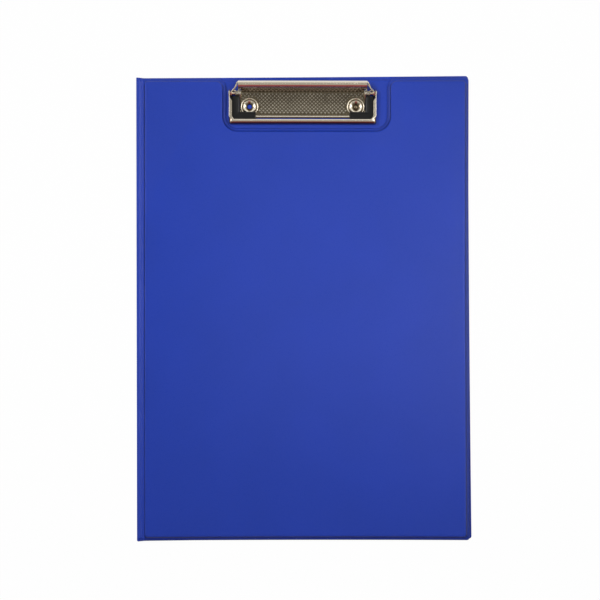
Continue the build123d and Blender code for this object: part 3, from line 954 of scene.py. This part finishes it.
def sheet_from_rows(name, rows, thickness, material, flip=False):
    """A plate of the given thickness on the inner side of a grid of surface points."""
    width = len(rows[0])
    faces = []
    for row in range(len(rows) - 1):
        for column in range(width - 1):
            first = row * width + column
            face = [first, first + 1, first + width + 1, first + width]
            faces.append(face[::-1] if flip else face)
    piece = new_piece(name, [point for row in rows for point in row], faces, material)
    solid = piece.modifiers.new("sheet thickness", "SOLIDIFY")
    solid.thickness = thickness * 0.001
    solid.offset = -1.0
    solid.use_even_offset = False
    round_edges(piece, "rounded edges", 0.12, 2, 50)
    return piece


# The frame is polished along its top, and its sides are painted duller and browner, a painted dark
# reflection
jaw_painted_reflection = "#8C7868"
frame_nickel = nickel_plate("drawn_frame_nickel", nickel, 0.16, jaw_top - 0.4, jaw_top - 0.12, jaw_painted_reflection)
clamp_frame = sheet_from_rows("clamp_jaw_frame", outer_rows, clip_sheet, frame_nickel)
clamp_frame.data.transform(clip_askew)
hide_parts("clamp_frame")
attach(clamp_frame, "clamp")


# Thumb lever: 0.9 mm steel, rolled to a steep face with a crown and a tucked hem, nickel plated. Its
# ends are folded forward as cheeks, which lie against the frame arms on the same pins.
lever_half = 44.5
lever_slope = radians(76)
lever_face = 5.8
lever_crown = 3.1
lever_hem = 1.2
lever_foot = (pivot.y + 1.88, pivot.z - 1.4)
lever_foot_half = 41.9
face_way = (cos(lever_slope), sin(lever_slope))
crown_start = (lever_foot[0] + lever_face * face_way[0], lever_foot[1] + lever_face * face_way[1])
crown_centre = (crown_start[0] + lever_crown * face_way[1], crown_start[1] - lever_crown * face_way[0])
hem_centre = (crown_centre[0], crown_centre[1] + lever_crown - lever_hem)
face_points = 5
lever_line = divided([lever_foot, crown_start], lever_face / (face_points - 1))
crown_turn = degrees(lever_slope)
lever_line += arc_points(crown_centre, lever_crown, crown_turn + 90, -crown_turn, 12)[1:]
lever_line += arc_points(hem_centre, lever_hem, 90, -180, 12)[1:]


def with_way(line):
    """Each point of a line, with the direction in which the line passes it."""
    for index, (a, b) in enumerate(line):
        before = line[max(0, index - 1)]
        after = line[min(len(line) - 1, index + 1)]
        yield a, b, Vector((after[0] - before[0], after[1] - before[1])).normalized()


def offset_line(line, distance):
    """A line of (y, z) points moved to its left."""
    return [(y - way.y * distance, z + way.x * distance) for y, z, way in with_way(line)]


lever_outside = offset_line(lever_line, clip_sheet / 2)
# Places across the lever, close together where its foot steps up to clear the ears
lever_places = [lever_half, 43.6, 42.7, lever_foot_half]
lever_places += [lever_foot_half * (1 - step / 12) for step in range(1, 12)]
lever_places += [0.0] + [-x for x in reversed(lever_places)]
ear_clear = pivot.z + ear_radius + 0.3
lever_rows = []
for x in lever_places:
    row = [Vector((x, y, z)) for y, z in lever_outside]
    if abs(x) > lever_foot_half:
        end = row[face_points - 1].copy()
        start = row[0].lerp(end, (ear_clear - row[0].z) / (end.z - row[0].z))
        row[:face_points] = [start.lerp(end, step / (face_points - 1)) for step in range(face_points)]
    lever_rows.append(row)
# The steep face below the crown is painted duller and browner, a painted dark reflection
lever_painted_reflection = "#97897E"
lever_nickel = nickel_plate("lever_nickel_painted_reflection", nickel, 0.16, crown_start[1] - 0.6, crown_start[1] + 0.6,
                            lever_painted_reflection)
thumb_lever = sheet_from_rows("thumb_lever_bar", lever_rows, clip_sheet, lever_nickel)
thumb_lever.data.transform(clip_askew)
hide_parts("thumb_lever")
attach(thumb_lever, "clamp")

# The cheeks: the ends of the lever are bent forward and taper to the pins inside the frame arms
cheek_mid = frame_half - clip_sheet * 1.5
cheek_bend = 0.9
cheek_corners = [
    (lever_half - clip_sheet / 2, crown_centre[0] + 0.9), (lever_half + 0.6, crown_centre[0] + 0.1),
    (frame_half - 4.0, pivot.y + 2.8), (cheek_mid - 0.2, pivot.y + 0.5), (cheek_mid, pivot.y - knuckle),
]


def rounded_path(corners, radius, steps):
    """A path with its inner corners rounded."""
    path = [Vector(corners[0])]
    for before, corner, after in zip(corners, corners[1:], corners[2:]):
        corner = Vector(corner)
        way_in = (corner - Vector(before)).normalized()
        way_out = (Vector(after) - corner).normalized()
        half_turn = way_in.angle(way_out) / 2
        pull = radius * sin(half_turn) / cos(half_turn)
        start = corner - way_in * pull
        end = corner + way_out * pull
        for step in range(steps + 1):
            share = step / steps
            path.append(start * (1 - share) ** 2 + corner * 2 * share * (1 - share) + end * share ** 2)
    path.append(Vector(corners[-1]))
    return path


hem_reach = lever_hem + clip_sheet / 2
cheek_line = divided([tuple(point) for point in rounded_path(cheek_corners, cheek_bend, 8)], 0.7)
for side_name, side in both_sides:
    rows = []
    for x, y, way in with_way(cheek_line):
        outward = Vector((-way.y, way.x)) * clip_sheet / 2
        low, high = (hull_edge(y, edge, pivot_spot, knuckle, hem_centre, hem_reach) for edge in (-1, 1))
        rows.append([Vector((side * (x + outward.x), y + outward.y, low + (high - low) * step / 6))
                     for step in range(7)])
    cheek = sheet_from_rows(f"{side_name}_lever_cheek", rows, clip_sheet, bright_nickel, flip=side < 0)
    cheek.data.transform(clip_askew)
    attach(cheek, "clamp")


# Corner pads: soft black PVC mouldings, pressed into the front corners of the frame. They grip the
# paper and keep the frame off the base plate.
pad_low, pad_high = (corner * 1000 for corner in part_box("right_pad"))
side_band = 6.05
front_band = 7.1
pad_round = 2.2
pad_black = "#0F0F10"
# Grey of a painted sheen on the lower slope of a pad, fading to black between two depths below its top
lip_painted_sheen = "#3C3C3E"
lip_sheen_band = (1.1, 0.6)
texture_mm = 0.5
texture_relief = 0.03


def moulded_pvc():
    """Soft black moulding with a matt spark-eroded texture, and a painted grey sheen down the slope of its
    lip.
    """
    m = new_material("moulded_black_pvc")
    place = add_node(m, "TexCoord").outputs["Object"]
    fine = add_node(m, "TexNoise", {"Vector": place, "Scale": 1000 / texture_mm, "Detail": 3.0})
    bump = add_node(m, "Bump", {"Height": fine, "Strength": 0.3, "Distance": texture_relief * 0.001})
    gloss = add_node(m, "MapRange", {"Value": fine, "To Min": 0.38, "To Max": 0.55})
    level = between(m, place, "Z", pad_high.z - lip_sheen_band[0], pad_high.z - lip_sheen_band[1])
    sheen_tone = add_node(m, "ValToRGB", {"Fac": level}, stops=[(0, linear(lip_painted_sheen)), (1, linear(pad_black))])
    shader = add_node(m, "BsdfPrincipled", {
        "Base Color": sheen_tone, "Roughness": gloss, "IOR": 1.5, "Specular IOR Level": 0.2, "Normal": bump})
    add_node(m, "OutputMaterial", {"Surface": shader})
    return m


pad_material = moulded_pvc()
pad_under = plate_top + boss_top + 1.1
# Level of each ring of a pad, with how far it draws in from the frame and from the window
pad_rings = [
    (pad_under, 0.0, 0.0), (pad_high.z - 1.4, 0.0, 0.0), (pad_high.z - 1.2, 0.05, 0.2),
    (pad_high.z - 0.85, 0.2, 0.9), (pad_high.z - 0.45, 0.5, 1.6), (pad_high.z - 0.12, 1.0, 1.95),
    (pad_high.z, 1.6, 2.3),
]


def pad_outline(outer, inner):
    """Plan of a pad, drawn in from the frame and from the window."""
    r = pad_round
    high_x = pad_high.x - outer
    low_x = pad_low.x + 0.3 * inner
    low_y = pad_low.y + outer
    side_x = pad_high.x - side_band + inner
    front_y = pad_low.y + front_band - inner * 0.6
    rear_y = pad_high.y + 1.2 - 0.2 * inner
    line = arc_points((pad_high.x - r, pad_low.y + r), r, -90, 90, 6)
    line = [(min(x, high_x), max(y, low_y)) for x, y in line]
    line += [(high_x, rear_y - 0.3), (high_x - 0.3, rear_y), (side_x, rear_y)]
    return line + [(side_x, front_y), (low_x, front_y), (low_x, low_y)]


for side_name, side in both_sides:
    rings = []
    for level, outer, inner in pad_rings:
        ring = [(side * x, y, level) for x, y in pad_outline(outer, inner)]
        rings.append(ring if side > 0 else ring[::-1])
    pad = ring_piece(f"{side_name}_corner_pad", rings, pad_material, 45)
    pad.data.transform(clip_askew)
    round_edges(pad, "moulded edges", 0.4, 3, 45)
    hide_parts(f"{side_name}_pad")
    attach(pad, "clamp")


# Front cover, inner lining: the same lining film, cut with a notch for the clip and welded all round.
# The real cover was welded a little askew, so it lies 0.3 degrees off the back cover.
front_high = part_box("front_outer_skin")[1] * 1000
front_edge_x = front_high.x - 0.2
front_edge_y = front_high.y
front_mid = fold.z
flange_droop = 0.6
notch_left = -frame_half - 2.95
notch_right = frame_half + 7.0
notch_bottom = frame_front - 2.15
notch_corner = 8.2
notch_flare = 7.0
front_askew = radians(0.3)
askew_fade = 14


def notch_distance(x, y):
    """Distance from the clip notch to a point of the cover."""
    middle = (notch_left + notch_right) / 2
    half = (notch_right - notch_left) / 2
    out_x = abs(x - middle) - (half - notch_corner)
    out_y = notch_bottom + notch_corner - y
    return hypot(max(0.0, out_x), max(0.0, out_y)) + min(0.0, max(out_x, out_y)) - notch_corner


def notch_line(inset, top):
    """The edge of the notch, moved into the cover by an inset, from right to left."""
    flare = notch_flare - inset
    right = notch_right + inset
    left = notch_left - inset
    bottom = notch_bottom - inset
    corner = notch_corner + inset
    line = arc_points((right + flare, top - flare), flare, 90, 90, 8)
    line += arc_points((right - corner, bottom + corner), corner, 0, -90, 12)
    line += arc_points((left + corner, bottom + corner), corner, 270, -90, 12)
    line += arc_points((left - flare, top - flare), flare, 0, 90, 8)
    return line


def askew(x, y, z):
    """Turns the front cover a little about the spine, with no move at the fold itself."""
    x, y = drawn_in(x, y)
    share = ease((x - fold.x) / askew_fade)
    return (x + share * front_askew * y, y - front_askew * (x - fold.x), z)


front_cover = (front_edge_x, front_edge_y, True)
front_plan = cover_plan(front_cover)
front_lining = cover_sheet("front_cover_lining", front_cover, front_plan, front_mid, -1, inner_strip, askew,
                           lining_film, flange_droop)
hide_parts("front_inner_lining")
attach(front_lining, "front_cover")


# Front cover, board: the same grey board, notched for the clip. It stops short of the welds all round.
board_inset = 3.2
board_low, board_high = (corner.z * 1000 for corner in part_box("front_board"))
board_left = groove.x + groove_half + board_inset - flange
board_right = front_edge_x - board_inset
board_end = front_edge_y - board_inset


def board_distance(x, y):
    """How far a point lies inside the front board."""
    return min(edge_distance(x, y, front_cover) - board_inset, x - board_left)


board_line = [(board_left, -board_end), (board_right, -board_end), (board_right, board_end)]
board_line += notch_line(board_inset, board_end)
board_line += [(board_left, board_end), (board_left, -board_end)]
board_plan = flat_mesh([divided(board_line, 12)], [], lambda x, y: board_distance(x, y) > 0)
front_board = closed_sheet("front_cover_board", board_plan, lambda x, y: board_high, lambda x, y: board_low,
                           askew, grey_board)
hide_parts("front_board")
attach(front_board, "front_cover")


# Pocket: a flat sheet of the lining film inside the front cover, welded to it along three edges and
# open towards the clip.
pocket_low, pocket_high = (corner * 1000 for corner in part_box("front_pocket"))
pocket_corner = 2.0
pocket_weld = 1.2
weld_half = 0.5
weld_depth = 0.12
edge_lift = 0.1


def pocket_distance(x, y):
    """How far a point lies inside the pocket's outline."""
    across = min(x - pocket_low.x, pocket_high.x - x)
    return round_min(across, min(y - pocket_low.y, pocket_high.y - y), pocket_corner)


def pocket_underside(x, y):
    """Lower face of the pocket, pressed in along the weld and open at the top."""
    weld = min(x - pocket_low.x, pocket_high.x - x, y - pocket_low.y)
    pressed = max(0.0, 1 - abs(weld - pocket_weld) / weld_half)
    return pocket_low.z + weld_depth * pressed + edge_lift * (1 - ease(weld / 0.4))


pocket_lines = []
for inset in (0.0, 0.4, 0.7, 1.2, 1.7, 2.4):
    outline = round_rectangle(pocket_low.x + inset, pocket_low.y + inset, pocket_high.x - inset,
                              pocket_high.y - inset, pocket_corner)
    pocket_lines.append(divided(outline, 12))
pocket_plan = flat_mesh(pocket_lines, [], lambda x, y: pocket_distance(x, y) > 0)
pocket = closed_sheet("front_cover_pocket", pocket_plan, lambda x, y: pocket_high.z - 0.01,
                      pocket_underside, askew, lining_film)
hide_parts("front_pocket")
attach(pocket, "front_cover")


# Front cover, outer skin: the grained film again, with painted shade along its welds. It lies in very
# slight waves on its board, its rim bulges inside the weld, and it runs on as the upper spine strip.
wave_depth = 0.03
# Middle of the weld below the clip, where the photograph shows hardly any shade
notch_foot = Vector(((notch_left + notch_right) / 2, notch_bottom - 1.5, front_mid))
weld_shaded_film = embossed_pvc("vinyl_film_painted_weld_shade", grain_mm, grain_relief, notch_foot, front_edge_y)
front_skin = cover_sheet("front_cover_skin", front_cover, front_plan, front_mid, 1, outer_strip, askew,
                         weld_shaded_film, flange_droop, wave_depth)
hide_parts("front_outer_skin")
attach(front_skin, "front_cover")


# Camera: the photograph is taken from straight above, a little towards the foot of the folder
distance = 1150.0
frame_width = 413.55
aim = Vector((-2.43, 5.20, front_high.z))
tilt = radians(1.67)
roll = radians(-0.263)
camera_data = bpy.data.cameras.new("camera")
camera_data.sensor_width = 36.0
camera_data.lens = camera_data.sensor_width * distance / frame_width
camera = bpy.data.objects.new("camera", camera_data)
turn = Matrix.Rotation(roll, 4, "Z") @ Matrix.Rotation(tilt, 4, "X")
camera.matrix_world = Matrix.Translation(aim * 0.001) @ turn @ Matrix.Translation((0, 0, distance * 0.001))
into_scene(camera)
bpy.context.scene.camera = camera

# Floor: a white sheet that shows as pure white and keeps the folder's faint shadow
floor_half = 3000
floor_drop = 0.2
paper_glow = 0.98


def seen_white(m):
    """1 for camera, mirror and glass rays, which see the studio white, and 0 for the rest."""
    rays = add_node(m, "LightPath")
    seen = add_node(m, "Math", {0: rays.outputs["Is Camera Ray"], 1: rays.outputs["Is Glossy Ray"]},
                    operation="ADD")
    return add_node(m, "Math", {0: seen, 1: rays.outputs["Is Transmission Ray"]}, operation="ADD",
                    use_clamp=True)


def white_sweep():
    """White paper. Camera, mirror and glass rays see it near full white, and the shadow stays."""
    m = new_material("white_paper_sweep")
    part = add_node(m, "Math", {0: seen_white(m), 1: paper_glow}, operation="MULTIPLY")
    glow = add_node(m, "Emission", {"Color": (1, 1, 1, 1), "Strength": 1.0})
    paper = add_node(m, "BsdfDiffuse", {"Color": (0.95, 0.95, 0.95, 1)})
    mix = add_node(m, "MixShader", {0: part, 1: paper, 2: glow})
    add_node(m, "OutputMaterial", {"Surface": mix})
    return m


floor_corners = [(floor_half * x, floor_half * y, 0) for x, y in ((-1, -1), (1, -1), (1, 1), (-1, 1))]
floor = new_piece("floor", floor_corners, [[0, 1, 2, 3]], white_sweep(), smooth=False)
floor.location.z = -0.001 * floor_drop

# World: a dim and slightly cool studio. Camera, mirror and glass rays that reach it see it white.
world = bpy.data.worlds.new("studio")
bpy.context.scene.world = world
world.use_nodes = True
world.node_tree.nodes.clear()
room = add_node(world, "Background", {"Color": (0.92, 0.95, 1.0, 1), "Strength": 0.155})
white = add_node(world, "Background", {"Color": (1, 1, 1, 1), "Strength": 1.0})
choice = add_node(world, "MixShader", {0: seen_white(world), 1: room, 2: white})
add_node(world, "OutputWorld", {"Surface": choice})

# Tent: a round cloth room that only mirrors see. It is dark red towards the foot and pale towards the
# clip end and both sides, and has a bright window and two side banks, as the nickel shows them.
tent_radius = 2600
tent_sides = 48
tent_rows = 24
# Place in metres, distances at which the glow starts and stops to fade, and glow inside and outside
window = ((0.72, 0.05, 2.5), (0.20, 0.34), (23.0, 1.4))
bank = ((2.05, 0.25, 1.58), (0.35, 0.75), (4.5, 0.0))
side_weight = 0.85
# Tone of the cloth from the foot to the clip end
tent_tones = [
    (0, (0.04, 0.012, 0.012)), (0.04, (0.13, 0.035, 0.035)), (0.08, (0.27, 0.06, 0.07)),
    (0.18, (0.36, 0.08, 0.09)), (0.22, (0.20, 0.17, 0.14)), (0.28, (0.32, 0.31, 0.27)),
    (0.36, (0.55, 0.54, 0.48)), (0.44, (0.34, 0.33, 0.31)), (0.56, (0.30, 0.29, 0.27)),
    (0.64, (0.32, 0.31, 0.29)), (0.73, (0.60, 0.59, 0.55)), (0.85, (0.80, 0.79, 0.76)),
    (1, (0.84, 0.84, 0.81)),
]


def glow_spot(m, place, centre, edge, glow):
    """Glow of the cloth round a lamp behind it."""
    away = add_node(m, "VectorMath", {0: place, 1: centre}, operation="DISTANCE")
    return add_node(m, "MapRange", {
        "Value": away.outputs["Value"], "From Min": edge[0], "From Max": edge[1],
        "To Min": glow[0], "To Max": glow[1]}, interpolation_type="SMOOTHSTEP")


def tent_cloth():
    """Cloth whose tone goes by how far a place lies towards the clip end and to either side."""
    m = new_material("tent_cloth")
    place = add_node(m, "TexCoord").outputs["Object"]
    parts = add_node(m, "SeparateXYZ", {"Vector": place})
    aside = add_node(m, "Math", {0: parts.outputs["X"]}, operation="ABSOLUTE")
    way = add_node(m, "Math", {0: aside, 1: side_weight, 2: parts.outputs["Y"]}, operation="MULTIPLY_ADD")
    share = add_node(m, "MapRange", {"Value": way, "From Min": -0.001 * tent_radius,
                                     "From Max": 0.001 * tent_radius})
    tone = add_node(m, "ValToRGB", {"Fac": share}, stops=tent_tones)
    mirrored = add_node(m, "CombineXYZ", {"X": aside, "Y": parts.outputs["Y"], "Z": parts.outputs["Z"]})
    total = add_node(m, "Math", {0: glow_spot(m, place, *window), 1: glow_spot(m, mirrored, *bank)},
                     operation="ADD")
    glow = add_node(m, "Emission", {"Color": tone, "Strength": total})
    add_node(m, "OutputMaterial", {"Surface": glow})
    return m


tent_rings = []
for row in range(tent_rows):
    height = radians(90 * row / tent_rows)
    turns = [2 * pi * step / tent_sides for step in range(tent_sides)]
    around = tent_radius * cos(height)
    level = tent_radius * sin(height)
    tent_rings.append([(around * cos(turn), around * sin(turn), level) for turn in turns])
tent_points = []
tent_faces = []
add_rings(tent_points, tent_faces, tent_rings)
# The tent has a roof but no floor
del tent_faces[-2]
tent = new_piece("tent", tent_points, tent_faces, tent_cloth())
for kind in ("camera", "diffuse", "transmission", "shadow"):
    setattr(tent, "visible_" + kind, False)


# Lamps: a soft main light from the upper left, and a wide faint one close above the folder
def softbox(name, place, toward, size, radiance):
    """A rectangular lamp with a given brightness of its face. Camera and mirrors don't see it."""
    lamp = bpy.data.lights.new(name, "AREA")
    lamp.shape = "RECTANGLE"
    lamp.size, lamp.size_y = (value * 0.001 for value in size)
    lamp.energy = radiance * pi * lamp.size * lamp.size_y
    holder = bpy.data.objects.new(name, lamp)
    place = Vector(place) * 0.001
    way = Vector(toward) * 0.001 - place
    holder.matrix_world = Matrix.Translation(place) @ way.to_track_quat("-Z", "Y").to_matrix().to_4x4()
    holder.visible_camera = False
    holder.visible_glossy = False
    into_scene(holder)


softbox("key_softbox", (-350, 220, 700), (0, 0, 0), (200, 200), 17.4)
softbox("overhead_softbox", (90, 50, 350), (90, 50, 0), (360, 300), 1.98)

bpy.context.scene.view_settings.view_transform = "Standard"
